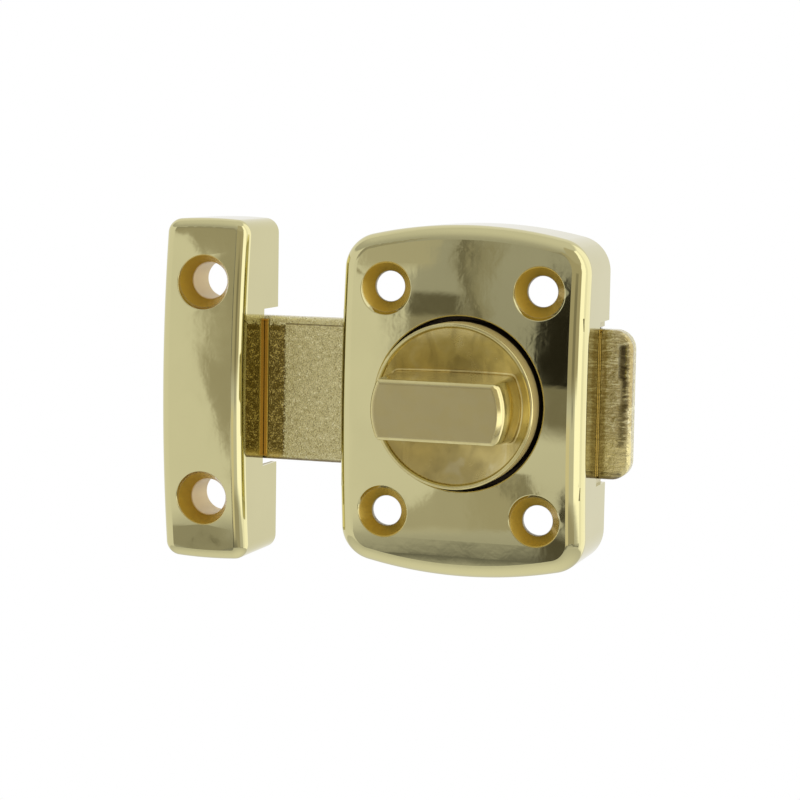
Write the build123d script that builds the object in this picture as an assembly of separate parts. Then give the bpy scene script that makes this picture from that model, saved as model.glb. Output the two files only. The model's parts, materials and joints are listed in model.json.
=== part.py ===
"""Surface-mounted door latch: a die-cast case with a turn knob that drives a flat bolt into a strike.

Frame: millimetres, +Z up.  The back of the case lies in the plane Y = 0 and the latch stands out
towards -Y, so -Y faces the person who turns the knob.  The origin is where the knob's axis meets
the mounting plane.  The bolt is drawn thrown: its left end is inside the strike.
"""
from build123d import *
import math
import os

# ---------------------------------------------------------------- driving dimensions (mm)

# outer form that the case and the strike share
DEPTH = 17.2                 # mounting plane to the highest line of the front
OVERALL_DEPTH = 30.5         # mounting plane to the top of the knob's grip
CROWN_RADIUS = 190.0         # the front is a shallow cylinder about a left-right axis
ARCH_RADIUS = 76.0           # top and bottom edges seen from the front
WALL = 1.0                   # side walls at the open back, where they are thinnest
WALL_DRAFT = 2.0             # degrees that the inside narrows towards the front
FRONT_WALL = 3.0             # front wall

# case
CASE_WIDTH = 43.2
CASE_HEIGHT = 60.0
CASE_CORNER = 6.0            # corner radius seen from the front
CASE_EDGE = 2.8              # rounding of the front edge
CASE_HOLE_PITCH_X = 26.8
CASE_HOLE_PITCH_Z = 38.6
CASE_HOLE_RADIUS = 2.6
CASE_SINK_RADIUS = 4.45      # countersink at the surface
CASE_SINK_DEPTH = 2.5
INNER_CORNER = 0.6           # least corner radius inside a shell
OPENING_EDGE = 0.3           # rounding of the knob's opening
SINK_EDGE = 0.15             # rounding of a countersink's mouth

# strike
STRIKE_GAP = 17.6            # between the case and the strike
STRIKE_WIDTH = 15.4
STRIKE_HEIGHT = 60.0
STRIKE_CORNER = 2.6
STRIKE_EDGE = 2.0
STRIKE_HOLE_PITCH = 38.2
STRIKE_HOLE_RADIUS = 3.2
STRIKE_SINK_RADIUS = 4.75
STRIKE_SINK_DEPTH = 3.3
STRIKE_BOSS_WALL = 1.5
STRIKE_BOSS_LENGTH = 10.0    # front surface to the end of the screw boss

# bolt
BOLT_HEIGHT = 25.5
BOLT_THICKNESS = 4.0
BOLT_LIFT = 0.6              # bolt's back to the rivet heads of the leaf spring
BOLT_TAIL = 5.6              # stands out of the case when thrown
BOLT_ENGAGEMENT = 8.0        # reaches this far into the strike when thrown
BOLT_CORNER = 3.3
BOLT_EDGE = 1.0
NOTCH_CLEAR_Z = 1.25         # above and below the bolt in the case and strike walls
NOTCH_CLEAR_Y = 0.15         # in front of the bolt in the case walls
STRIKE_CLEAR_Y = 0.2         # in front of the bolt in the strike wall
GUIDE_CLEAR = 0.25           # bolt to its guide posts
GUIDE_THICKNESS = 2.2        # guide posts, measured up and down

# knob
KNOB_RADIUS = 14.0
KNOB_PROUD = 3.5             # rim above the crown of the case
KNOB_GAP = 0.75              # disc to the opening of the case
RIM_LAND = 0.8               # width of the rim, its roundings included
RIM_EDGE = 0.35              # rounding of both edges of the rim
DISH_DEPTH = 2.6             # middle of the dished floor below the rim
DISH_LIP = 0.6               # edge of the dished floor below the rim
DISH_FOOT = 0.2              # rounding between the dish and the rim
GRIP_RADIUS = 11.82          # ends of the grip at its foot
GRIP_WIDTH = 11.34           # at its foot
GRIP_CORNER = 1.2            # corners of the grip seen from the front
GRIP_DRAFT = 3.0             # degrees
GRIP_EDGE = 0.9
GRIP_FOOT = 0.3              # rounding at the foot of the grip
FLANGE_WIDTH = 2.6           # ring behind the front wall that holds the knob in
FLANGE_THICKNESS = 1.4
FLANGE_CLEAR = 0.1           # flange to its guide ring
JOURNAL_RADIUS = 4.0
JOURNAL_CLEAR = 0.05
SQUARE_DRIVE = 4.8           # across flats, for the pinion
SQUARE_CLEAR = 0.05

# gear pair
MODULE = 0.9
FLANK_SHARES = (0.0, 0.2, 0.4, 0.6, 0.8, 1.0)   # points along a tooth's flank, base circle to tip
PRESSURE_ANGLE = 20.0        # degrees
PINION_ADDENDUM = 0.9
PINION_DEDENDUM = 0.8
RACK_ADDENDUM = 0.6
RACK_DEDENDUM = 1.1
BACKLASH = 0.16              # along the pitch line
PINION_THICKNESS = 2.4
KNOB_TURN = 180.0            # degrees, thrown to drawn back
RACK_BACK = 2.8              # solid strip behind the rack's teeth
RACK_END = 2.4               # rack beyond the mesh point at each end of the travel
RACK_CLEAR = 0.3             # rack to the bearing plate
RACK_ROOM = 1.2              # least gap from the rack's end to the case's side wall

# inner plates, washers and fasteners
PLATE_CLEAR = 0.1            # running gap beside a plate or a spring
WAVE_WASHER = 0.4            # thickness, pressed flat
BEARING_PLATE = 1.0
GUIDE_RING_WALL = 1.7
BUSH_WALL = 1.0
BACK_PLATE = 1.2
BACK_PLATE_CLEAR = 0.15      # to the case walls
POST_Z = 22.0                # screw posts above and below the knob
POST_RADIUS = 2.6
SCREW_RADIUS = 1.25
SCREW_HEAD_RADIUS = 2.2
SCREW_HEAD_DEPTH = 0.9
SCREW_LENGTH = 5.0
SLOT_WIDTH = 0.5
SLOT_DEPTH = 0.5
STANDOFF_FLATS = 4.4
STANDOFF_SPIGOT = 3.0
LUG_WIDTH = 6.4
CLIP_THICKNESS = 0.5
CLIP_WIDTH = 1.3
CLIP_GROOVE = 0.4            # depth of the groove in the square's flats
CLIP_CLEAR = 0.05            # clip to the bottom of its groove
CLIP_MOUTH = 3.5             # open side of the clip
STUB_END = 0.3               # spindle end to the bolt
STOP_PIN_RADIUS = 0.8
STOP_PIN_ORBIT = 11.6
STOP_PIN_REACH = 1.3         # length of the pin inside the knob's groove
STOP_CLEAR = 0.12
RIVET_RADIUS = 0.8
RIVET_HEAD_RADIUS = 1.4
RIVET_HEAD = 0.35
RIVET_INSET = 3.0            # rack end to its rivet
RIVET_FLOOR = 1.0            # bolt left behind a blind rivet hole
LEAF_LENGTH = 24.0
LEAF_WIDTH = 7.0
LEAF_THICKNESS = 0.3
LEAF_PAD = 4.0               # flat end of the leaf, under its rivets
LEAF_CLEAR = 0.1             # crest of the leaf to the bolt

OVERCUT = 1.0                # how far a cutter passes the surface that it opens

# ---------------------------------------------------------------- sizes that follow

case_left = -CASE_WIDTH / 2
case_right = CASE_WIDTH / 2
strike_right = case_left - STRIKE_GAP
strike_centre = strike_right - STRIKE_WIDTH / 2
bolt_left = strike_right - BOLT_ENGAGEMENT
bolt_right = case_right + BOLT_TAIL
bolt_back = BACK_PLATE + LEAF_THICKNESS + RIVET_HEAD + BOLT_LIFT
bolt_front = bolt_back + BOLT_THICKNESS
notch_half = BOLT_HEIGHT / 2 + NOTCH_CLEAR_Z

opening_radius = KNOB_RADIUS + KNOB_GAP
flange_radius = KNOB_RADIUS + FLANGE_WIDTH
ring_inner = flange_radius + FLANGE_CLEAR
ring_outer = ring_inner + GUIDE_RING_WALL

# the pinion has as many teeth as the rack has room for in the case
rack_travel_room = CASE_WIDTH / 2 - WALL - RACK_ROOM - RACK_END
pinion_teeth = int(2 * rack_travel_room / (MODULE * math.radians(KNOB_TURN)))
pitch_radius = MODULE * pinion_teeth / 2
stroke = pitch_radius * math.radians(KNOB_TURN)

# stations along the knob's axis, measured forwards from the mounting plane
rim_front = DEPTH + KNOB_PROUD
dish_bottom = rim_front - DISH_DEPTH
grip_front = OVERALL_DEPTH
pinion_back = bolt_front + STUB_END + PLATE_CLEAR + CLIP_THICKNESS + PLATE_CLEAR
pinion_front = pinion_back + PINION_THICKNESS
plate_back = pinion_front + PLATE_CLEAR
plate_front = plate_back + BEARING_PLATE
flange_back = plate_front + PLATE_CLEAR
flange_front = flange_back + FLANGE_THICKNESS
seat_back = flange_front + WAVE_WASHER
stub_end = bolt_front + STUB_END
clip_back = stub_end + PLATE_CLEAR
rack_front = plate_back - RACK_CLEAR


def forward(distance):
    """Plane parallel to the mounting plane, the given distance in front of it, facing -Y."""
    return Plane((0, -distance, 0), x_dir=(1, 0, 0), z_dir=(0, -1, 0))


def slab(sketch, back, front):
    """Solid of a front-view sketch between two distances from the mounting plane."""
    return extrude(forward(back) * sketch, front - back)


def disc(radius, back, front, x=0.0, z=0.0):
    """Cylinder along the knob's direction."""
    return slab(Pos(x, z) * Circle(radius), back, front)


def ring(outer, inner, back, front, x=0.0, z=0.0):
    """Flat ring along the knob's direction."""
    return slab(Pos(x, z) * (Circle(outer) - Circle(inner)), back, front)


def cone(back_radius, front_radius, back, front, x=0.0, z=0.0):
    """Cone along the knob's direction, from its back radius to its front radius."""
    return forward(back) * Pos(x, z) * Cone(back_radius, front_radius, front - back,
                                            align=(Align.CENTER, Align.CENTER, Align.MIN))


def crown_depth(z):
    """Distance from the mounting plane to the crowned front at height z."""
    return DEPTH - CROWN_RADIUS + math.sqrt(CROWN_RADIUS ** 2 - z ** 2)


def arched_outline(width, height, corner, inset=0.0):
    """Front view of a shell: straight sides, arched top and bottom, round corners."""
    arch = ARCH_RADIUS - inset
    offset = height / 2 - ARCH_RADIUS
    outline = Rectangle(width - 2 * inset, 2 * height)
    outline &= Pos(0, offset) * Circle(arch)
    outline &= Pos(0, -offset) * Circle(arch)
    return fillet(outline.vertices(), max(corner - inset, INNER_CORNER))


def crowned_block(outline, width, front_drop=0.0, draft=0.0):
    """Outline carried forwards from the mounting plane to the crown, less front_drop."""
    crown = Rot(0, 90, 0) * Cylinder(CROWN_RADIUS - front_drop, 2 * width)
    block = extrude(forward(0) * outline, DEPTH, taper=draft)
    return block & (Pos(0, CROWN_RADIUS - DEPTH, 0) * crown)


def shell(width, height, corner, edge):
    """Hollow crowned shell, open at the back, centred on X = 0."""
    outer = crowned_block(arched_outline(width, height, corner), width)
    front_edges = outer.faces().sort_by(Axis.Y)[0].edges()
    outer = fillet(front_edges, edge)
    inner = crowned_block(arched_outline(width, height, corner, WALL), width, FRONT_WALL, WALL_DRAFT)
    return outer - inner


def countersink(x, z, hole_radius, sink_radius, sink_depth):
    """Cutter for a countersunk screw hole in the crowned front."""
    surface = crown_depth(z)
    spread = (sink_radius - hole_radius) / sink_depth
    mouth = sink_radius + spread * OVERCUT
    tool = cone(hole_radius, mouth, surface - sink_depth, surface + OVERCUT, x, z)
    return tool + disc(hole_radius, 0, surface, x, z)


def front_rim(body, x, z, radius):
    """Edges round an opening of about that radius where it meets the crowned front."""
    near = radius / 8

    def on_rim(edge):
        points = [edge @ share for share in (0.0, 0.3, 0.6, 0.9)]
        round_it = all(abs(math.hypot(p.X - x, p.Z - z) - radius) < near for p in points)
        return round_it and all(abs(p.Y + crown_depth(p.Z)) < near for p in points)

    return [edge for edge in body.edges() if on_rim(edge)]


case_holes = [(sx * CASE_HOLE_PITCH_X / 2, sz * CASE_HOLE_PITCH_Z / 2) for sx in (-1, 1) for sz in (-1, 1)]
strike_holes = [(strike_centre, sz * STRIKE_HOLE_PITCH / 2) for sz in (-1, 1)]
posts = [(0.0, sz * POST_Z) for sz in (-1, 1)]


def make_case():
    """Die-cast shell with the knob's opening, guide ring, bolt notches, guide and screw posts."""
    body = shell(CASE_WIDTH, CASE_HEIGHT, CASE_CORNER, CASE_EDGE)
    body -= slab(Rectangle(2 * CASE_WIDTH, 2 * notch_half), 0, bolt_front + NOTCH_CLEAR_Y)
    front = DEPTH - FRONT_WALL / 2
    body += disc(ring_outer, seat_back, front)
    body -= disc(ring_outer, plate_front, seat_back) + slab(plate_outline(ring_outer), 0, plate_front)
    body += ring(ring_outer, ring_inner, plate_front, seat_back)
    guide_low = BOLT_HEIGHT / 2 + GUIDE_CLEAR
    guide_inner = math.sqrt(ring_outer ** 2 - guide_low ** 2) + PLATE_CLEAR
    guide_length = CASE_WIDTH / 2 - WALL / 2 - guide_inner
    for sx in (-1, 1):
        for sz in (-1, 1):
            x = sx * (guide_inner + guide_length / 2)
            z = sz * (guide_low + GUIDE_THICKNESS / 2)
            body += slab(Pos(x, z) * Rectangle(guide_length, GUIDE_THICKNESS), BACK_PLATE, front)
    for x, z in posts:
        body += disc(POST_RADIUS, plate_front, crown_depth(z) - FRONT_WALL / 2, x, z)
        body -= disc(SCREW_RADIUS, plate_front, plate_front + STANDOFF_SPIGOT, x, z)
    body -= disc(opening_radius, 0, DEPTH + OVERCUT)
    body = fillet(front_rim(body, 0, 0, opening_radius), OPENING_EDGE)
    for x, z in case_holes:
        body -= countersink(x, z, CASE_HOLE_RADIUS, CASE_SINK_RADIUS, CASE_SINK_DEPTH)
        body = fillet(front_rim(body, x, z, CASE_SINK_RADIUS), SINK_EDGE)
    return body


def make_strike():
    """Die-cast keeper: a narrow shell with two screw bosses and a notch for the bolt."""
    body = shell(STRIKE_WIDTH, STRIKE_HEIGHT, STRIKE_CORNER, STRIKE_EDGE)
    body = Pos(strike_centre, 0, 0) * body
    for x, z in strike_holes:
        surface = crown_depth(z)
        body += disc(STRIKE_HOLE_RADIUS + STRIKE_BOSS_WALL, surface - STRIKE_BOSS_LENGTH,
                     surface - FRONT_WALL / 2, x, z)
    for x, z in strike_holes:
        body -= countersink(x, z, STRIKE_HOLE_RADIUS, STRIKE_SINK_RADIUS, STRIKE_SINK_DEPTH)
        body = fillet(front_rim(body, x, z, STRIKE_SINK_RADIUS), SINK_EDGE)
    notch = slab(Pos(strike_right, 0) * Rectangle(2 * (WALL + OVERCUT), 2 * notch_half), 0,
                 bolt_front + STRIKE_CLEAR_Y)
    return body - notch


def make_knob():
    """Turn knob: rimmed disc, grip, retaining flange, journal and square drive in one casting."""
    inside = KNOB_RADIUS - RIM_LAND
    lip = rim_front - DISH_LIP
    dish = TangentArc((0, dish_bottom), (inside, lip), tangent=(1, 0))
    profile = make_face(dish + Polyline(
        (inside, lip), (inside, rim_front), (KNOB_RADIUS, rim_front), (KNOB_RADIUS, flange_front),
        (flange_radius, flange_front), (flange_radius, flange_back), (JOURNAL_RADIUS, flange_back),
        (JOURNAL_RADIUS, pinion_front), (0, pinion_front), (0, dish_bottom)))
    profile = fillet(profile.vertices().group_by(Axis.Y)[-1], RIM_EDGE)
    profile = fillet(profile.vertices().group_by(Axis.Y)[-3].sort_by(Axis.X)[0], DISH_FOOT)
    turned = Rot(0, 0, 180) * revolve(profile, Axis.Y)
    outline = Circle(GRIP_RADIUS) & Rectangle(2 * GRIP_RADIUS, GRIP_WIDTH)
    outline = fillet(outline.vertices(), GRIP_CORNER)
    grip = extrude(forward(dish_bottom) * outline, grip_front - dish_bottom, taper=GRIP_DRAFT)
    grip = fillet(grip.faces().sort_by(Axis.Y)[0].edges(), GRIP_EDGE)
    knob = turned + grip
    knob = fillet(new_edges(turned, grip, combined=knob), GRIP_FOOT)
    drive = slab(Rectangle(SQUARE_DRIVE, SQUARE_DRIVE), stub_end, pinion_front)
    groove = ring(SQUARE_DRIVE, SQUARE_DRIVE / 2 - CLIP_GROOVE, clip_back, clip_back + CLIP_THICKNESS)
    knob += drive - groove
    return knob - stop_groove()


def stop_groove():
    """Arc cut in the knob's back in which the stop pin travels: the lower half of its orbit."""
    width = STOP_PIN_RADIUS + STOP_CLEAR
    depth = flange_back + STOP_PIN_REACH + STOP_CLEAR
    arc = Circle(STOP_PIN_ORBIT + width) - Circle(STOP_PIN_ORBIT - width)
    arc &= Pos(0, -STOP_PIN_ORBIT) * Rectangle(4 * STOP_PIN_ORBIT, 2 * STOP_PIN_ORBIT)
    for sx in (-1, 1):
        arc += Pos(sx * STOP_PIN_ORBIT, 0) * Circle(width)
    return slab(arc, flange_back, depth)


def involute_point(base, radius, start_angle):
    """Point where the involute of a base circle reaches a radius, turned by start_angle."""
    roll = math.sqrt((radius / base) ** 2 - 1)
    angle = start_angle + roll - math.atan(roll)
    return radius * math.sin(angle), radius * math.cos(angle)


def pinion_outline():
    """Involute pinion with a tooth space facing +Z, thinned by half the backlash."""
    base = pitch_radius * math.cos(math.radians(PRESSURE_ANGLE))
    root = pitch_radius - PINION_DEDENDUM
    tip = pitch_radius + PINION_ADDENDUM
    pitch_roll = math.tan(math.radians(PRESSURE_ANGLE))
    pitch_involute = pitch_roll - math.radians(PRESSURE_ANGLE)
    pitch_angle = 2 * math.pi / pinion_teeth
    half_tooth = pitch_angle / 4 - BACKLASH / (4 * pitch_radius)
    foot = (root - MODULE) / base
    radii = [base + (tip - base) * share for share in FLANK_SHARES]
    outline = Circle(root)
    for tooth in range(pinion_teeth):
        centre = (tooth + 0.5) * pitch_angle
        start = -half_tooth - pitch_involute
        left = [involute_point(base, r, start) for r in radii]
        left = [(left[0][0] * foot, left[0][1] * foot)] + left
        right = [(-x, y) for x, y in reversed(left)]
        tooth_face = make_face(Polyline(*left, *right, close=True))
        outline += Rot(0, 0, -math.degrees(centre)) * tooth_face
    return outline


def make_pinion():
    """Pinion with a square hole, driven by the knob."""
    hole = SQUARE_DRIVE + 2 * SQUARE_CLEAR
    return slab(pinion_outline() - Rectangle(hole, hole), pinion_back, pinion_front)


def make_rack():
    """Rack above the pinion; its teeth point down and one tooth is centred over the axis at rest."""
    pitch = math.pi * MODULE
    low = pitch_radius - RACK_ADDENDUM
    root = pitch_radius + RACK_DEDENDUM
    top = root + RACK_BACK
    lean = math.tan(math.radians(PRESSURE_ANGLE))
    half = pitch / 4 - BACKLASH / 4
    half_tip = half - RACK_ADDENDUM * lean
    half_root = half + RACK_DEDENDUM * lean
    left = -stroke - RACK_END
    strip = Pos((left + RACK_END) / 2, (root + top) / 2) * Rectangle(RACK_END - left, top - root)
    count = int((stroke + RACK_END) / pitch)
    for k in range(count + 1):
        x = -k * pitch
        tooth = make_face(Polyline((x - half_tip, low), (x + half_tip, low), (x + half_root, root),
                                   (x - half_root, root), close=True))
        strip += tooth
    body = slab(strip, bolt_front, rack_front)
    for x, z in rack_rivets():
        body -= disc(RIVET_RADIUS, bolt_front, rack_front, x, z)
        body -= disc(RIVET_HEAD_RADIUS, rack_front - RIVET_HEAD, rack_front, x, z)
    return body


def rack_rivets():
    """Places of the rack's two rivets."""
    z = pitch_radius + RACK_DEDENDUM + RACK_BACK / 2
    return [(-stroke - RACK_END + RIVET_INSET, z), (RACK_END - RIVET_INSET, z)]


def make_bolt():
    """Flat bolt with rounded ends and edges and two blind rivet holes."""
    length = bolt_right - bolt_left
    centre = (bolt_right + bolt_left) / 2
    outline = Pos(centre, 0) * Rectangle(length, BOLT_HEIGHT)
    outline = fillet(outline.vertices(), BOLT_CORNER)
    body = slab(outline, bolt_back, bolt_front)
    faces = body.faces().sort_by(Axis.Y)
    body = fillet(faces[0].edges() + faces[-1].edges(), BOLT_EDGE)
    for x, z in rack_rivets():
        body -= disc(RIVET_RADIUS, bolt_back + RIVET_FLOOR, bolt_front, x, z)
    return body


def make_rack_rivets():
    """Two flush rivets that hold the rack on the bolt."""
    rivets = []
    for x, z in rack_rivets():
        shank = disc(RIVET_RADIUS, bolt_back + RIVET_FLOOR, rack_front, x, z)
        rivets.append(shank + disc(RIVET_HEAD_RADIUS, rack_front - RIVET_HEAD, rack_front, x, z))
    return Compound(children=rivets)


def make_wave_washer():
    """Spring washer between the front wall and the knob's flange, pressed flat."""
    inner = opening_radius + PLATE_CLEAR
    outer = flange_radius - PLATE_CLEAR
    return ring(outer, inner, flange_front, seat_back)


def plate_outline(radius):
    """Round plate with a lug above and below for the screw posts."""
    return Circle(radius) + Rectangle(LUG_WIDTH, 2 * (POST_Z + POST_RADIUS))


def make_bearing_plate():
    """Steel plate behind the knob's flange that holds the knob in the case."""
    body = slab(plate_outline(ring_outer - PLATE_CLEAR), plate_back, plate_front)
    body -= disc(JOURNAL_RADIUS + JOURNAL_CLEAR + BUSH_WALL, plate_back, plate_front)
    for x, z in posts:
        body -= disc(SCREW_RADIUS, plate_back, plate_front, x, z)
    return body - disc(STOP_PIN_RADIUS, plate_back, plate_front, -STOP_PIN_ORBIT)


def make_bush():
    """Plain bush pressed into the bearing plate, in which the knob's journal turns."""
    bore = JOURNAL_RADIUS + JOURNAL_CLEAR
    return ring(bore + BUSH_WALL, bore, plate_back, plate_front)


def make_stop_pin():
    """Pin in the bearing plate that ends the knob's turn at both ends of its groove."""
    return disc(STOP_PIN_RADIUS, plate_back, flange_back + STOP_PIN_REACH, -STOP_PIN_ORBIT)


def make_clip():
    """Retaining clip on the square drive behind the pinion, open at one side."""
    inner = SQUARE_DRIVE / 2 - CLIP_GROOVE + CLIP_CLEAR
    outer = SQUARE_DRIVE / 2 + CLIP_WIDTH
    opening = Pos(0, -outer) * Rectangle(CLIP_MOUTH, 2 * outer)
    flat = Circle(outer) - Circle(inner) - opening
    return slab(flat, clip_back, clip_back + CLIP_THICKNESS)


def make_standoffs():
    """Hexagonal standoffs that clamp the bearing plate and carry the back plate."""
    parts = []
    for x, z in posts:
        hexagon = Pos(x, z) * RegularPolygon(STANDOFF_FLATS / 2, 6, major_radius=False)
        body = slab(hexagon, BACK_PLATE, plate_back)
        body += disc(SCREW_RADIUS, plate_back, plate_front + STANDOFF_SPIGOT, x, z)
        body -= disc(SCREW_RADIUS, BACK_PLATE, SCREW_LENGTH, x, z)
        parts.append(body)
    return Compound(children=parts)


def make_back_plate():
    """Steel cover behind the bolt, flush with the case's rim, with a lug for each screw."""
    width = CASE_WIDTH - 2 * (WALL + BACK_PLATE_CLEAR)
    height = BOLT_HEIGHT + 2 * (GUIDE_CLEAR + GUIDE_THICKNESS)
    body = slab(Rectangle(width, height) + Rectangle(LUG_WIDTH, 2 * (POST_Z + POST_RADIUS)), 0, BACK_PLATE)
    for x, z in posts:
        body -= disc(SCREW_RADIUS, 0, BACK_PLATE, x, z)
        body -= cone(SCREW_HEAD_RADIUS, SCREW_RADIUS, 0, SCREW_HEAD_DEPTH, x, z)
    for x, z in leaf_rivets():
        body -= disc(RIVET_RADIUS, 0, BACK_PLATE, x, z)
    return body


def make_back_plate_screws():
    """Countersunk screws through the back plate into the standoffs."""
    screws = []
    for x, z in posts:
        body = disc(SCREW_RADIUS, 0, SCREW_LENGTH, x, z)
        body += cone(SCREW_HEAD_RADIUS, SCREW_RADIUS, 0, SCREW_HEAD_DEPTH, x, z)
        slot = slab(Pos(x, z) * Rectangle(2 * (SCREW_HEAD_RADIUS + OVERCUT), SLOT_WIDTH), 0, SLOT_DEPTH)
        screws.append(body - slot)
    return Compound(children=screws)


def leaf_rivets():
    """Places of the leaf spring's two rivets."""
    x = -LEAF_LENGTH / 2 + LEAF_PAD / 2
    return [(x, sz * LEAF_WIDTH / 4) for sz in (-1, 1)]


def make_leaf():
    """Bowed leaf spring riveted to the back plate; its crest bears on the back of the bolt."""
    left = -LEAF_LENGTH / 2
    start = left + LEAF_PAD
    right = LEAF_LENGTH / 2
    crest = (start + right) / 2
    low = -BACK_PLATE
    high = -(bolt_back - LEAF_CLEAR)
    inner = ThreePointArc((start, low), (crest, high + LEAF_THICKNESS), (right, low))
    outer = ThreePointArc((right, low - LEAF_THICKNESS), (crest, high), (start, low - LEAF_THICKNESS))
    side = make_face(
        Line((left, low), (start, low)) + inner + Line((right, low), (right, low - LEAF_THICKNESS)) + outer
        + Line((start, low - LEAF_THICKNESS), (left, low - LEAF_THICKNESS))
        + Line((left, low - LEAF_THICKNESS), (left, low)))
    body = extrude(side, LEAF_WIDTH / 2, both=True)
    for x, z in leaf_rivets():
        body -= disc(RIVET_RADIUS, BACK_PLATE, BACK_PLATE + LEAF_THICKNESS, x, z)
    return body


def make_leaf_rivets():
    """Rivets that hold the leaf spring on the back plate."""
    rivets = []
    for x, z in leaf_rivets():
        shank = disc(RIVET_RADIUS, 0, BACK_PLATE + LEAF_THICKNESS, x, z)
        head = disc(RIVET_HEAD_RADIUS, BACK_PLATE + LEAF_THICKNESS, BACK_PLATE + LEAF_THICKNESS + RIVET_HEAD,
                    x, z)
        rivets.append(shank + head)
    return Compound(children=rivets)


NODES = {
    "case": make_case,
    "strike": make_strike,
    "knob": make_knob,
    "wave_washer": make_wave_washer,
    "bearing_plate": make_bearing_plate,
    "knob_bush": make_bush,
    "stop_pin": make_stop_pin,
    "pinion": make_pinion,
    "retaining_clip": make_clip,
    "bolt": make_bolt,
    "rack": make_rack,
    "rack_rivets": make_rack_rivets,
    "standoffs": make_standoffs,
    "back_plate": make_back_plate,
    "back_plate_screws": make_back_plate_screws,
    "leaf_spring": make_leaf,
    "leaf_spring_rivets": make_leaf_rivets,
}

os.makedirs("parts", exist_ok=True)
for name, make in NODES.items():
    export_step(make(), f"parts/{name}.step")
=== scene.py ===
"""Looks of a surface-mounted turn bolt latch: plated castings, steel inner works and a plain studio.

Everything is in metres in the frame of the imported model: +Z up, the latch faces -Y, the knob turns
about the Y axis and the mounting plane is Y = 0.
"""
import json
import logging
import math
from abc import ABC, abstractmethod
from dataclasses import dataclass, field
from enum import Enum

import bpy
import numpy as np
from mathutils import Matrix, Vector


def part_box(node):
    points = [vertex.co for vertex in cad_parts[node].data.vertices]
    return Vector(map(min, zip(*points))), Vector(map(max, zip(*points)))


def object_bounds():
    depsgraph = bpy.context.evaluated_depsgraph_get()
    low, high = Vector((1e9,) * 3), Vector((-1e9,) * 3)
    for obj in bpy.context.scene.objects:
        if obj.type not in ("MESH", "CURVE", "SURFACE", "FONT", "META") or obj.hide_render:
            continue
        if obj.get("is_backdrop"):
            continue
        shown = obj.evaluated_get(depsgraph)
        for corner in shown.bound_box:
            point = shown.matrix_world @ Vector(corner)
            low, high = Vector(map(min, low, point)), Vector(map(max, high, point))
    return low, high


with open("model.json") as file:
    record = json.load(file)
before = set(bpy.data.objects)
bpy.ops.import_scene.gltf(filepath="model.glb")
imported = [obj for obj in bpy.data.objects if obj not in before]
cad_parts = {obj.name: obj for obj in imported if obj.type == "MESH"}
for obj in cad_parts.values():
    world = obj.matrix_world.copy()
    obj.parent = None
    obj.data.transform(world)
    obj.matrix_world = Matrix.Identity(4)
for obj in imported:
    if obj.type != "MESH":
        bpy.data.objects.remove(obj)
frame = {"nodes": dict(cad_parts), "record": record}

LOG = logging.getLogger("latch")
MM = 0.001

Triple = tuple[float, float, float]
Colour = Triple
Span = tuple[float, float]
Socket = bpy.types.NodeSocket
Node = bpy.types.Node
Tree = bpy.types.NodeTree
Sockets = bpy.types.bpy_prop_collection
Material = bpy.types.Material

# Painted shade: near-black colour laid in the gap round the knob and on the wall of the case's opening.
PAINTED_GAP_SHADE: Colour = (0.05, 0.03, 0.01)


class Slot(Enum):
    """Finish slots that the record names."""

    POLISHED = "polished_plating"
    KNOB = "knob_plating"
    BOLT = "bolt_plating"
    GEAR = "gear_steel"
    SPRING = "spring_steel"
    ZINC = "zinc_steel"
    BUSH = "bush_brass"
    FASTENER = "fastener_steel"


# ---------- node helpers


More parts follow.
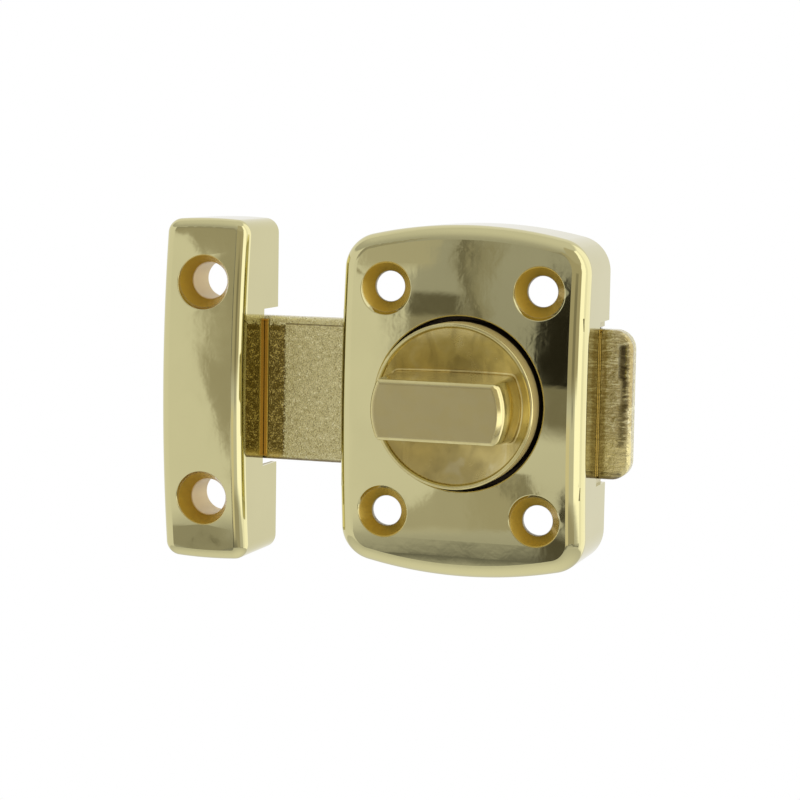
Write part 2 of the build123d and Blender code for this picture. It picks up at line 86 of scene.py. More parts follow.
class Net:
    """A node tree with short calls for adding and wiring nodes."""

    def __init__(self, tree: Tree) -> None:
        """Empties the tree and keeps it."""
        self.tree = tree
        tree.nodes.clear()

    def add(self, kind: str, inputs: dict | None = None, **settings: object) -> Node:
        """Adds a node.

        Args:
            kind: Blender's node class.
            inputs: value or source socket of each named or numbered input.
            settings: properties of the node.

        Returns:
            The new node.
        """
        node = self.tree.nodes.new(kind)
        for key, value in settings.items():
            setattr(node, key, value)
        for key, value in (inputs or {}).items():
            self.feed(node.inputs[key], value)
        return node

    def feed(self, socket: Socket, value: object) -> None:
        """Links a source socket to an input, or sets the input's own value.

        Args:
            socket: the input.
            value: a socket, a number, a vector or a colour of three numbers.
        """
        if isinstance(value, Socket):
            self.tree.links.new(value, socket)
        elif socket.type == "RGBA" and len(value) == 3:
            socket.default_value = (*value, 1.0)
        else:
            socket.default_value = value

    def place(self, group: Tree, inputs: dict) -> Sockets:
        """Outputs of a node group, placed and given its inputs."""
        return self.add("ShaderNodeGroup", inputs, node_tree=group).outputs

    def maths(self, operation: str, first: object, second: object = 0.0) -> Socket:
        """Result of one Math node."""
        return self.add("ShaderNodeMath", {0: first, 1: second}, operation=operation).outputs[0]

    def plus(self, first: object, *others: object) -> Socket:
        """Sum of two or more values.

        Args:
            first: a number or a socket.
            others: what is added to it.

        Returns:
            The sum.
        """
        for other in others:
            first = self.maths("ADD", first, other)
        return first

    def times(self, first: object, *others: object) -> Socket:
        """Product of two or more values, which for masks is where all of them hold.

        Args:
            first: a number or a socket.
            others: what it is multiplied by.

        Returns:
            The product.
        """
        for other in others:
            first = self.maths("MULTIPLY", first, other)
        return first

    def minus(self, first: object, second: object) -> Socket:
        """Difference of two values."""
        return self.maths("SUBTRACT", first, second)

    def rest(self, mask: Socket) -> Socket:
        """Where a mask does not hold."""
        return self.minus(1.0, mask)

    def step(self, value: object, start: object, end: object, low: object = 0.0,
             high: object = 1.0) -> Socket:
        """Smooth step of a value, from low before start to high after end."""
        limits = {"Value": value, "From Min": start, "From Max": end, "To Min": low, "To Max": high}
        return self.add("ShaderNodeMapRange", limits, interpolation_type="SMOOTHSTEP").outputs["Result"]

    def within(self, value: Socket, low: float, high: float, soft: float) -> Socket:
        """1 between low and high, else 0, with edges that reach soft to either side."""
        return self.times(self.step(value, low - soft, low + soft),
                          self.step(value, high + soft, high - soft))

    def blend(self, factor: object, first: object, second: object) -> Socket:
        """Mix of two colours.

        The Mix node's factor is input 0, its colours are inputs 6 and 7 and its result is output 2.

        Args:
            factor: 0 for the first colour, 1 for the second.
            first: a colour or its socket.
            second: a colour or its socket.

        Returns:
            The mixed colour.
        """
        return self.add("ShaderNodeMix", {0: factor, 6: first, 7: second}, data_type="RGBA").outputs[2]

    def noise(self, vector: Socket, scale: object, detail: float = 2.0, distortion: float = 0.0) -> Socket:
        """Value of a noise texture, about 0.5 on average."""
        return self.add("ShaderNodeTexNoise", {"Vector": vector, "Scale": scale, "Detail": detail,
                                               "Distortion": distortion}).outputs["Fac"]

    def mapped(self, vector: Socket, scale: Triple, turn: Triple = (0.0, 0.0, 0.0)) -> Socket:
        """Vector turned, then scaled, by a Mapping node."""
        return self.add("ShaderNodeMapping", {"Vector": vector, "Rotation": turn, "Scale": scale}).outputs[0]

    def bump(self, height: Socket, distance: float, **inputs: object) -> Socket:
        """Normal bent by a height of 0 to 1 times a distance in metres."""
        given = {"Height": height, "Strength": 1.0, "Distance": distance, **inputs}
        return self.add("ShaderNodeBump", given).outputs[0]

    def parts(self, vector: Socket) -> tuple[Socket, ...]:
        """X, Y and Z of a vector."""
        return tuple(self.add("ShaderNodeSeparateXYZ", {0: vector}).outputs)

    def joined(self, x: object, y: object, z: object) -> Socket:
        """Vector of three values."""
        return self.add("ShaderNodeCombineXYZ", {0: x, 1: y, 2: z}).outputs[0]

    def length(self, vector: Socket) -> Socket:
        """Length of a vector."""
        return self.add("ShaderNodeVectorMath", {0: vector}, operation="LENGTH").outputs["Value"]

    def depth(self, at: Socket) -> Socket:
        """Distance in front of the mounting plane, which is -Y."""
        return self.times(self.parts(at)[1], -1.0)

    def reach(self, at: Socket) -> Socket:
        """Distance from the knob's axis, which is the Y axis."""
        flat = self.add("ShaderNodeVectorMath", {0: at, 1: (1.0, 0.0, 1.0)}, operation="MULTIPLY")
        return self.length(flat.outputs[0])


def shaded(colour: Colour, share: float) -> Colour:
    """A colour with each channel times a share."""
    return tuple(share * channel for channel in colour)


def value_group(name: str, inputs: dict[str, float],
                outputs: tuple[str, ...]) -> tuple[Tree, Net, Sockets, Sockets]:
    """Starts a shader node group that puts out values only.

    Args:
        name: name of the group.
        inputs: default of each input besides the Vector, which every group has.
        outputs: names of the value outputs.

    Returns:
        The group, its Net, the sockets that it is given and those that it puts out.
    """
    group = bpy.data.node_groups.new(name, "ShaderNodeTree")
    group.interface.new_socket("Vector", in_out="INPUT", socket_type="NodeSocketVector")
    for key, default in inputs.items():
        socket = group.interface.new_socket(key, in_out="INPUT", socket_type="NodeSocketFloat")
        socket.default_value = default
    for key in outputs:
        group.interface.new_socket(key, in_out="OUTPUT", socket_type="NodeSocketFloat")
    net = Net(group)
    return group, net, net.add("NodeGroupInput").outputs, net.add("NodeGroupOutput").inputs


def polish_group(smear_size: float = 160.0, dimple_share: float = 0.06, mark_share: float = 0.02) -> Tree:
    """Polished plating: slow waviness of the casting, fine buffing lines and faint smears.

    Args:
        smear_size: noise scale of the smears.
        dimple_share: height of the small dimples against the waves.
        mark_share: height of the buffing lines against the waves.

    Returns:
        A group with the outputs Height (0 to 1, for a Bump node) and Haze (0 to 1, for roughness).
    """
    group, net, given, out = value_group("polish", {"Wave Size": 80.0, "Line Size": 900.0},
                                         ("Height", "Haze"))
    at = given["Vector"]
    wave_size = given["Wave Size"]
    line_size = given["Line Size"]
    wave = net.noise(at, wave_size, 1.0)
    dimple = net.noise(at, net.times(wave_size, 5.0), 2.0, 0.4)
    lines = net.noise(net.mapped(at, (0.06, 1.0, 1.0)), line_size, 3.0)
    crossed = net.noise(net.mapped(at, (1.0, 1.0, 0.08), (0.0, 0.6, 0.0)), line_size, 2.0)
    marks = net.times(lines, crossed, mark_share)
    net.feed(out["Height"], net.plus(wave, net.times(dimple, dimple_share), marks))
    smear = net.step(net.noise(net.mapped(at, (1.0, 1.0, 0.5)), smear_size, 5.0, 1.2), 0.45, 0.75)
    net.feed(out["Haze"], net.times(smear, lines))
    return group


def grain_group(hump_share: float = 0.4, mottle_size: float = 420.0) -> Tree:
    """As-cast skin: fine random grain on soft humps, and flow ripples that run along X.

    Args:
        hump_share: height of the humps against the grain.
        mottle_size: noise scale of the mottling.

    Returns:
        A group with the outputs Height and Mottle, both about 0 to 1.
    """
    group, net, given, out = value_group("cast_grain", {"Grain": 2600.0, "Ripple": 0.0},
                                         ("Height", "Mottle"))
    at = given["Vector"]
    size = given["Grain"]
    ripple = given["Ripple"]
    fine = net.noise(at, size, 3.0, 0.6)
    hump = net.noise(at, net.times(size, 0.3), 2.0)
    flow = net.noise(net.mapped(at, (0.3, 1.0, 1.5)), net.times(size, 0.28), 4.0, 0.8)
    grain = net.times(fine, net.rest(ripple))
    net.feed(out["Height"], net.plus(grain, net.times(flow, ripple), net.times(hump, hump_share)))
    net.feed(out["Mottle"], net.step(net.noise(at, mottle_size, 6.0), 0.3, 0.7))
    return group


def hole_group() -> Tree:
    """Distance, seen from the front, to the nearest of a symmetric pattern of holes.

    The distance is the length of (|x - centre| - half pitch x, |z| - half pitch z).

    Returns:
        A group with the output Distance, in metres.
    """
    group, net, given, out = value_group("hole_distance", {
        "Centre X": 0.0, "Half Pitch X": 0.0, "Half Pitch Z": 0.0}, ("Distance",))
    x, _, z = net.parts(given["Vector"])
    across = net.minus(net.maths("ABSOLUTE", net.minus(x, given["Centre X"])), given["Half Pitch X"])
    along = net.minus(net.maths("ABSOLUTE", z), given["Half Pitch Z"])
    net.feed(out["Distance"], net.length(net.joined(across, along, 0.0)))
    return group


def cavity_group(half_wall: float = 0.5 * MM, half_front: float = 1.5 * MM, soft: float = 0.1 * MM) -> Tree:
    """Tells the inside of a hollow shell from its outside.

    The shell's front view has straight sides, arched top and bottom edges and round corners, and its
    front is crowned. A point is inside when it lies deeper than half a wall behind every outer face.

    Args:
        half_wall: half the side walls' thickness.
        half_front: half the front's thickness.
        soft: half the width of the mask's soft edge.

    Returns:
        A group with the output Mask, 1 in the cavity and 0 on the outer skin.
    """
    group, net, given, out = value_group("cavity", {
        "Centre X": 0.0, "Half Width": 0.0, "Half Height": 0.0, "Corner": 0.0, "Arch": 0.0, "Crown": 0.0,
        "Depth": 0.0}, ("Mask",))
    x, y, z = net.parts(given["Vector"])
    across = net.maths("ABSOLUTE", net.minus(x, given["Centre X"]))
    up = net.maths("ABSOLUTE", z)
    side = net.minus(given["Half Width"], across)
    high = net.plus(up, net.minus(given["Arch"], given["Half Height"]))
    top = net.minus(given["Arch"], net.length(net.joined(across, high, 0.0)))
    turn = [net.maths("MAXIMUM", net.minus(given["Corner"], gap), 0.0) for gap in (side, top)]
    buried = net.minus(given["Corner"], net.length(net.joined(*turn, 0.0)))
    fall = net.maths("DIVIDE", net.times(up, up), net.times(given["Crown"], 2.0))
    front = net.plus(net.minus(given["Depth"], fall), y)
    net.feed(out["Mask"], net.times(net.step(buried, half_wall - soft, half_wall + soft),
                                    net.step(front, half_front - soft, half_front + soft)))
    return group


def brushed_group(wave_size: float = 300.0, cloud_size: float = 260.0) -> Tree:
    """Rolled or turned steel: long fine lines and cloudy passivation.

    Args:
        wave_size: noise scale of the slow waves under the lines.
        cloud_size: noise scale of the clouds.

    Returns:
        A group with the outputs Height, Lines and Cloud, each about 0 to 1.
    """
    group, net, given, out = value_group("rolled_steel", {"Line Size": 1800.0}, ("Height", "Lines", "Cloud"))
    at = given["Vector"]
    lines = net.noise(net.mapped(at, (0.04, 1.0, 1.0)), given["Line Size"], 3.0)
    net.feed(out["Lines"], lines)
    net.feed(out["Height"], net.plus(lines, net.noise(at, wave_size, 2.0)))
    net.feed(out["Cloud"], net.step(net.noise(at, cloud_size, 4.0), 0.35, 0.7))
    return group


# ---------- finishes


@dataclass(frozen=True)
class HolePattern:
    """A pattern of countersunk holes, symmetric about the middle of its piece."""

    centre_x: float
    half_pitch_x: float
    half_pitch_z: float
    hole_radius: float
    sink_radius: float

    def inputs(self, at: Socket) -> dict:
        """Gives this pattern to the hole group.

        Args:
            at: object coordinates.

        Returns:
            Value or source of each of the group's inputs.
        """
        return {"Vector": at, "Centre X": self.centre_x, "Half Pitch X": self.half_pitch_x,
                "Half Pitch Z": self.half_pitch_z}


@dataclass(frozen=True)
class Hollow:
    """Sizes of a hollow crowned shell, in metres."""

    centre_x: float
    half_width: float
    half_height: float
    corner: float
    depth: float
    arch: float = 76.0 * MM
    crown: float = 190.0 * MM

    def inputs(self, at: Socket) -> dict:
        """Gives this shell to the cavity group.

        Args:
            at: object coordinates.

        Returns:
            Value or source of each of the group's inputs.
        """
        return {"Vector": at, "Centre X": self.centre_x, "Half Width": self.half_width,
                "Half Height": self.half_height, "Corner": self.corner, "Arch": self.arch,
                "Crown": self.crown, "Depth": self.depth}


@dataclass
class Paintbox:
    """The shared node groups, made once."""

    polish: Tree = field(default_factory=polish_group)
    grain: Tree = field(default_factory=grain_group)
    holes: Tree = field(default_factory=hole_group)
    cavity: Tree = field(default_factory=cavity_group)
    steel: Tree = field(default_factory=brushed_group)


class Finish(ABC):
    """A metal finish."""

    name: str
    roughness: float

    def build(self, box: Paintbox) -> Material:
        """Builds the material.

        Args:
            box: the shared node groups.

        Returns:
            The material.
        """
        material = bpy.data.materials.new(self.name)
        material.use_nodes = True
        net = Net(material.node_tree)
        shader = net.add("ShaderNodeBsdfPrincipled", {"Metallic": 1.0, "Roughness": self.roughness})
        net.feed(net.add("ShaderNodeOutputMaterial").inputs["Surface"], shader.outputs[0])
        at = net.add("ShaderNodeTexCoord").outputs["Object"]
        for key, value in self.surface(net, box, at).items():
            net.feed(shader.inputs[key], value)
        return material

    @abstractmethod
    def surface(self, net: Net, box: Paintbox, at: Socket) -> dict[str, Socket]:
        """Lays the finish out.

        Args:
            net: the material's Net.
            box: the shared node groups.
            at: object coordinates.

        Returns:
            What feeds the Principled BSDF, by the name of the input.
        """


@dataclass(frozen=True)
class PolishedPlating(Finish):
    """Bright brass plating on a polished casting, deeper in its countersinks, bare in its screw throats.

    The casting is rough and darker in its cavity. A bore, where there is one, is the wall round the
    knob's opening, with painted shade on it: near-black and not metallic.
    """

    name: str
    colour: Colour
    deep_colour: Colour
    throat_colour: Colour
    cavity_colour: Colour
    roughness: float
    holes: HolePattern
    hollow: Hollow
    wave_height: float
    seed: float
    bore_radius: float = 0.0
    bore_front: float = 0.0
    sink_depth: float = 4.6 * MM
    sink_dullness: float = 0.55
    cavity_grain: float = 1800.0
    cavity_relief: float = 1.5
    tone_size: float = 70.0
    tone_share: float = 0.5
    haze_dullness: float = 0.05
    sink_roughness: float = 0.2
    cavity_roughness: float = 0.35
    throat_roughness: float = 0.15
    edge: float = 0.3 * MM

    def surface(self, net: Net, box: Paintbox, at: Socket) -> dict[str, Socket]:
        """Lays out the skin, the countersinks, the throats, the cavity and the bore.

        Args:
            net: the material's Net.
            box: the shared node groups.
            at: object coordinates.

        Returns:
            What feeds the Principled BSDF, by the name of the input.
        """
        shift = (self.seed, 0.0, self.seed)
        moved = net.add("ShaderNodeMapping", {"Vector": at, "Location": shift}).outputs[0]
        polish = net.place(box.polish, {"Vector": moved})
        cast = net.place(box.grain, {"Vector": at, "Grain": self.cavity_grain, "Ripple": 0.0})
        in_sink, in_throat, in_cavity = self.zones(net, box, at)
        rough_cast = net.times(cast["Height"], in_cavity, self.cavity_relief)
        height = net.plus(polish["Height"], rough_cast)
        tone = net.step(net.noise(moved, self.tone_size, 3.0), 0.3, 0.7, 0.0, self.tone_share)
        skin = net.blend(tone, self.colour, shaded(self.colour, 0.94))
        skin = net.blend(in_sink, skin, self.deep_colour)
        skin = net.blend(in_throat, skin, self.throat_colour)
        inner = net.blend(cast["Mottle"], self.cavity_colour, shaded(self.cavity_colour, 0.7))
        skin = net.blend(in_cavity, skin, inner)
        dull = net.times(in_sink, self.sink_dullness)
        # Painted shade: the wall of the knob's opening is coloured near-black and made not metallic.
        if self.bore_radius:
            bore_shade = self.bore_shade(net, at)
            skin = net.blend(bore_shade, skin, PAINTED_GAP_SHADE)
            dull = net.maths("MAXIMUM", dull, bore_shade)
        added = (net.times(mask, share) for mask, share in (
            (polish["Haze"], self.haze_dullness), (in_sink, self.sink_roughness),
            (in_cavity, self.cavity_roughness), (in_throat, self.throat_roughness)))
        return {"Normal": net.bump(height, self.wave_height), "Metallic": net.rest(dull),
                "Base Color": skin, "Roughness": net.plus(self.roughness, *added)}

    def zones(self, net: Net, box: Paintbox, at: Socket) -> tuple[Socket, Socket, Socket]:
        """Lays out the zones of the casting.

        Args:
            net: the material's Net.
            box: the shared node groups.
            at: object coordinates.

        Returns:
            Masks of the countersinks, of the screw throats and of the cavity.
        """
        holes = self.holes
        front = self.hollow.depth
        reach = net.place(box.holes, holes.inputs(at))["Distance"]
        in_sink = net.step(reach, holes.sink_radius, holes.sink_radius - self.edge)
        in_throat = net.step(reach, holes.hole_radius + 0.15 * MM, holes.hole_radius + 0.02 * MM)
        shallow = net.step(net.depth(at), front - self.sink_depth - 0.1 * MM,
                           front - self.sink_depth + 0.1 * MM)
        bored = net.maths("MAXIMUM", net.times(in_sink, shallow), in_throat)
        in_cavity = net.place(box.cavity, self.hollow.inputs(at))["Mask"]
        return in_sink, in_throat, net.times(in_cavity, net.rest(bored))

    def bore_shade(self, net: Net, at: Socket) -> Socket:
        """1 on the wall of the knob's opening, where shade is painted, else 0."""
        inside = net.step(net.reach(at), self.bore_radius + 0.25 * MM, self.bore_radius + 0.1 * MM)
        return net.times(inside, net.step(net.depth(at), self.bore_front, self.bore_front - self.edge))


@dataclass(frozen=True)
class KnobZones:
    """Masks of the knob's zones, and the two distances that tell them apart."""

    depth: Socket
    reach: Socket
    dish: Socket
    gap: Socket
    flank: Socket
    top: Socket
    end: Socket


@dataclass(frozen=True)
class KnobPlating(Finish):
    """Brass plating on the knob: bright rim, softly polished dish painted lighter towards its top, satin top
    of the grip, dull flank, painted light on the grip's right end and painted shade in the gap round the
    knob.
    """

    name: str
    colour: Colour
    dish_colour: Colour
    top_colour: Colour
    flank_colour: Colour
    rim_depth: float
    top_depth: float
    gap_depth: float
    dish_radius: float = 13.3 * MM
    # Height over which the dish's painted light rises towards its top, and its gain.
    top_light_rise: float = 5.0 * MM
    end_start: float = 9.4 * MM
    end_half_width: float = 4.6 * MM
    end_rounding: float = 2.9 * MM
    end_turn: Span = (30.0, 87.0)
    top_light_gain: float = 1.13
    mottle_share: float = 0.25
    smudge_span: Span = (0.45, 0.7)
    smudge_share: float = 0.55
    bare_span: Span = (0.46, 0.3)
    bare_share: float = 0.5
    end_light_colour: Colour = (0.84, 0.72, 0.34)
    smudge_colour: Colour = (0.34, 0.27, 0.11)
    bare_colour: Colour = (0.74, 0.66, 0.40)
    roughness: float = 0.09
    grain_size: float = 3600.0
    brush_size: float = 5000.0
    cloud_size: float = 200.0
    relief: float = 0.012 * MM
    wave_size: float = 160.0
    wave_share: float = 9.0
    dish_grain: float = 0.12
    top_grain: float = 0.25
    flank_bareness: float = 0.6
    dish_roughness: float = 0.10
    top_roughness: float = 0.24
    flank_roughness: float = 0.3
    brush_roughness: float = 0.06
    haze_roughness: float = 0.12

    def surface(self, net: Net, box: Paintbox, at: Socket) -> dict[str, Socket]:
        """Lays out the zones with their grain, brushing and haze.

        Args:
            net: the material's Net.
            box: the shared node groups.
            at: object coordinates.

        Returns:
            What feeds the Principled BSDF, by the name of the input.
        """
        zones = self.zones(net, at)
        polish = net.place(box.polish, {"Vector": at, "Wave Size": self.wave_size})
        grain = net.place(box.grain, {"Vector": at, "Grain": self.grain_size, "Ripple": 0.2})
        brushed = net.noise(net.mapped(at, (0.25, 1.0, 1.0)), self.brush_size, 3.0)
        fine = net.plus(net.times(zones.dish, self.dish_grain), net.times(zones.top, self.top_grain))
        height = net.plus(net.times(grain["Height"], fine), net.times(polish["Height"], self.wave_share))
        added = (net.times(mask, share) for mask, share in (
            (zones.dish, self.dish_roughness), (zones.top, self.top_roughness),
            (zones.flank, self.flank_roughness), (brushed, self.brush_roughness),
            (polish["Haze"], self.haze_roughness)))
        return {"Normal": net.bump(height, self.relief, Normal=self.worn_end(net, at, zones)),
                "Base Color": self.skin(net, at, grain["Mottle"], zones),
                "Metallic": net.rest(net.times(zones.flank, self.flank_bareness)),
                "Roughness": net.plus(self.roughness, *added)}

    def zones(self, net: Net, at: Socket) -> KnobZones:
        """Lays out the knob's zones by depth, by distance from the axis and, for the end, by X and Z.

        Args:
            net: the material's Net.
            at: object coordinates.

        Returns:
            The zones.
        """
        depth = net.depth(at)
        reach = net.reach(at)
        x, _, z = net.parts(at)
        below_rim = net.step(depth, self.rim_depth - 0.2 * MM, self.rim_depth - 0.5 * MM)
        inside = net.step(reach, self.dish_radius + 0.1 * MM, self.dish_radius - 0.1 * MM)
        outside = net.rest(inside)
        # The gap round the knob below the case's front, where shade is painted near-black.
        gap = net.times(net.step(depth, self.gap_depth, self.gap_depth - 0.3 * MM), outside)
        top = net.step(depth, self.top_depth - 0.1 * MM, self.top_depth - 0.02 * MM)
        beyond = net.step(x, self.end_start - 0.3 * MM, self.end_start + 0.3 * MM)
        across = net.step(net.maths("ABSOLUTE", z), self.end_half_width + 0.4 * MM,
                          self.end_half_width - 0.4 * MM)
        return KnobZones(depth, reach, net.times(below_rim, inside), gap, net.times(below_rim, outside),
                         top, net.times(beyond, across))

    def skin(self, net: Net, at: Socket, mottle: Socket, zones: KnobZones) -> Socket:
        """Colours the zones, and clouds the dish with smudged and bare patches. Paints light on the dish
        towards its top and on the grip's right end, and paints shade in the gap round the knob.

        Args:
            net: the material's Net.
            at: object coordinates.
            mottle: mottling of the cast skin.
            zones: the knob's zones.

        Returns:
            The base colour.
        """
        # Painted light: the dish is lighter towards its top.
        top_light = net.step(net.parts(at)[2], 0.0, self.top_light_rise)
        dish = net.blend(top_light, self.dish_colour, shaded(self.dish_colour, self.top_light_gain))
        skin = net.blend(zones.dish, self.colour, dish)
        skin = net.blend(zones.top, skin, self.top_colour)
        dulled = net.step(mottle, 0.2, 0.8, 0.0, self.mottle_share)
        skin = net.blend(dulled, skin, shaded(self.dish_colour, 0.8))
        cloud = net.noise(net.mapped(at, (1.3, 1.0, 0.8)), self.cloud_size, 2.5, 0.8)
        smudge = net.times(net.step(cloud, *self.smudge_span, 0.0, self.smudge_share), zones.dish)
        skin = net.blend(smudge, skin, self.smudge_colour)
        bare = net.times(net.step(cloud, *self.bare_span, 0.0, self.bare_share), zones.dish)
        skin = net.blend(bare, skin, self.bare_colour)
        # Painted light: the grip's right end, below its top, is blended towards a bright cream.
        off_top = net.step(zones.depth, self.top_depth - 0.02 * MM, self.top_depth - 0.1 * MM, 0.0, 0.5)
        skin = net.blend(net.times(zones.end, off_top), skin, self.end_light_colour)
        skin = net.blend(zones.flank, skin, self.flank_colour)
        # Painted shade in the gap round the knob.
        return net.blend(zones.gap, skin, PAINTED_GAP_SHADE)

    def worn_end(self, net: Net, at: Socket, zones: KnobZones) -> Socket:
        """Normal that carries the rounding of the grip's right end further down its wall.

        Below the top it turns from nearly forwards (-Y) to nearly straight away from the knob's axis, by
        the degrees of end_turn, as on a rounding that is end_rounding tall. It is packed as a colour: half
        of each part, plus 0.5.

        Args:
            net: the material's Net.
            at: object coordinates.
            zones: the knob's zones.

        Returns:
            The normal, which is the surface's own off the end.
        """
        x, _, z = net.parts(at)
        below = net.minus(self.top_depth, zones.depth)
        turns = (math.radians(angle) for angle in self.end_turn)
        turn = net.step(below, 0.0, self.end_rounding, *turns)
        outward = net.maths("DIVIDE", net.times(net.maths("SINE", turn), 0.5), zones.reach)
        ahead = net.minus(0.5, net.times(net.maths("COSINE", turn), 0.5))
        packed = net.joined(net.plus(net.times(outward, x), 0.5), ahead,
                            net.plus(net.times(outward, z), 0.5))
        mask = net.times(zones.end, net.step(below, 0.01 * MM, 0.08 * MM),
                         net.step(below, self.end_rounding + 0.3 * MM, self.end_rounding))
        return net.add("ShaderNodeNormalMap", {"Color": packed, "Strength": mask}, space="OBJECT").outputs[0]


@dataclass(frozen=True)
class Band:
    """A stretch of the bolt's front face painted another tone that stands in for its light and shade there,
    told by X and Z.

    Its sizes are in millimetres. Smooth takes the grain away, ragged makes the edges follow the grain's
    height over grain_level, speck is the colour of its crests, and it fades out behind the front face.
    """

    across: Span
    upright: Span
    soft: float
    colour: Colour
    amount: float
    smooth: float = 0.0
    ragged: float = 0.0
    speck: Colour = (0.45, 0.36, 0.14)
    grain_level: float = 0.7
    fades_behind: Span = (1.6, 1.2)

    def mask(self, net: Net, at: Socket, grain: Socket, front: float) -> Socket:
        """Lays the band out.

        Args:
            net: the material's Net.
            at: object coordinates.
            grain: height of the grain, which makes the edges ragged.
            front: Y of the front face.

        Returns:
            A mask that is amount on the band and 0 off it.
        """
        x, y, z = net.parts(at)
        shift = net.times(net.minus(grain, self.grain_level), self.ragged * MM)
        start, end = (front + depth * MM for depth in self.fades_behind)
        mask = net.step(y, start, end, 0.0, self.amount)
        for along, (low, high) in ((x, self.across), (z, self.upright)):
            place = net.plus(along, shift)
            mask = net.times(mask, net.within(place, low * MM, high * MM, self.soft * MM))
        return mask


@dataclass(frozen=True)
class CastPlating(Finish):
    """Brass plating straight on the cast skin of the bolt, with painted shade in the grain's pits, painted
    highlights on its crests and bands of painted shade and painted light beside the walls it passes.
    """

    name: str
    colour: Colour
    pit_shade_colour: Colour
    crest_highlight_colour: Colour
    roughness: float
    grain_height: float
    ripple_start: float
    front: float
    bands: tuple[Band, ...]
    grain_size: float = 4200.0
    ripple_rise: float = 1.5 * MM
    ripple_span: Span = (0.1, 0.9)
    pit_span: Span = (0.72, 0.5)
    crest_span: Span = (0.74, 0.9)
    speck_span: Span = (0.66, 0.88)
    mottle_dullness: float = 0.1

    def surface(self, net: Net, box: Paintbox, at: Socket) -> dict[str, Socket]:
        """Lays out the grain and its ripples, then the bands over them.

        Args:
            net: the material's Net.
            box: the shared node groups.
            at: object coordinates.

        Returns:
            What feeds the Principled BSDF, by the name of the input.
        """
        across = net.parts(at)[0]
        ripple = net.step(across, self.ripple_start, self.ripple_start + self.ripple_rise, *self.ripple_span)
        cast = net.place(box.grain, {"Vector": at, "Grain": self.grain_size, "Ripple": ripple})
        grain = height = cast["Height"]
        # Painted shade in the grain's pits and painted highlights on its crests.
        skin = net.blend(net.step(grain, *self.pit_span), self.colour, self.pit_shade_colour)
        skin = net.blend(net.step(grain, *self.crest_span), skin, self.crest_highlight_colour)
        # Bands of painted shade and painted light, each over the ones before it.
        for band in self.bands:
            mask = band.mask(net, at, grain, self.front)
            speck = net.step(grain, *self.speck_span, 0.0, 1.0 - band.smooth)
            skin = net.blend(mask, skin, net.blend(speck, band.colour, band.speck))
            height = net.times(height, net.step(mask, 0.0, 1.0, 1.0, 1.0 - band.smooth))
        return {"Normal": net.bump(height, self.grain_height), "Base Color": skin,
                "Roughness": net.plus(net.times(cast["Mottle"], self.mottle_dullness), self.roughness)}


@dataclass(frozen=True)
class Steel(Finish):
    """Plain or plated steel or turned brass of the inner pieces."""

    name: str
    colour: Colour
    cloud_colour: Colour
    roughness: float
    line_size: float
    relief: float = 0.01 * MM
    relief_strength: float = 0.6
    cloud_share: float = 0.7
    line_dullness: float = 0.18

    def surface(self, net: Net, box: Paintbox, at: Socket) -> dict[str, Socket]:
        """Lays out the lines and clouds.

        Args:
            net: the material's Net.
            box: the shared node groups.
            at: object coordinates.

        Returns:
            What feeds the Principled BSDF, by the name of the input.
        """
        steel = net.place(box.steel, {"Vector": at, "Line Size": self.line_size})
        cloud = net.times(steel["Cloud"], self.cloud_share)
        return {"Normal": net.bump(steel["Height"], self.relief, Strength=self.relief_strength),
                "Base Color": net.blend(cloud, self.colour, self.cloud_colour),
                "Roughness": net.plus(net.times(steel["Lines"], self.line_dullness), self.roughness)}


# ---------- the latch


def dress_node(node: str, material: Material) -> None:
    """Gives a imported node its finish.

    Args:
        node: name of the CAD node.
        material: its finish.
    """
    piece = frame["nodes"][node]
    piece.data.materials.clear()
    piece.data.materials.append(material)
    LOG.info("%s dressed in %s", node, material.name)


def hole_pattern(name: str, sink_radius: float) -> HolePattern:
    """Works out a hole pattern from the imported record's mount.

    Args:
        name: name of a bolt pattern mount.
        sink_radius: radius of the countersinks at the face.

    Returns:
        The pattern.
    """
    found = next(mount for mount in frame["record"]["mounts"] if mount["name"] == name)
    dims = found["dims"]
    return HolePattern(found["pos_m"][0], dims.get("spacing_x_mm", 0.0) * MM / 2,
                       dims.get("spacing_y_mm", 0.0) * MM / 2, dims["hole_r_mm"] * MM, sink_radius)


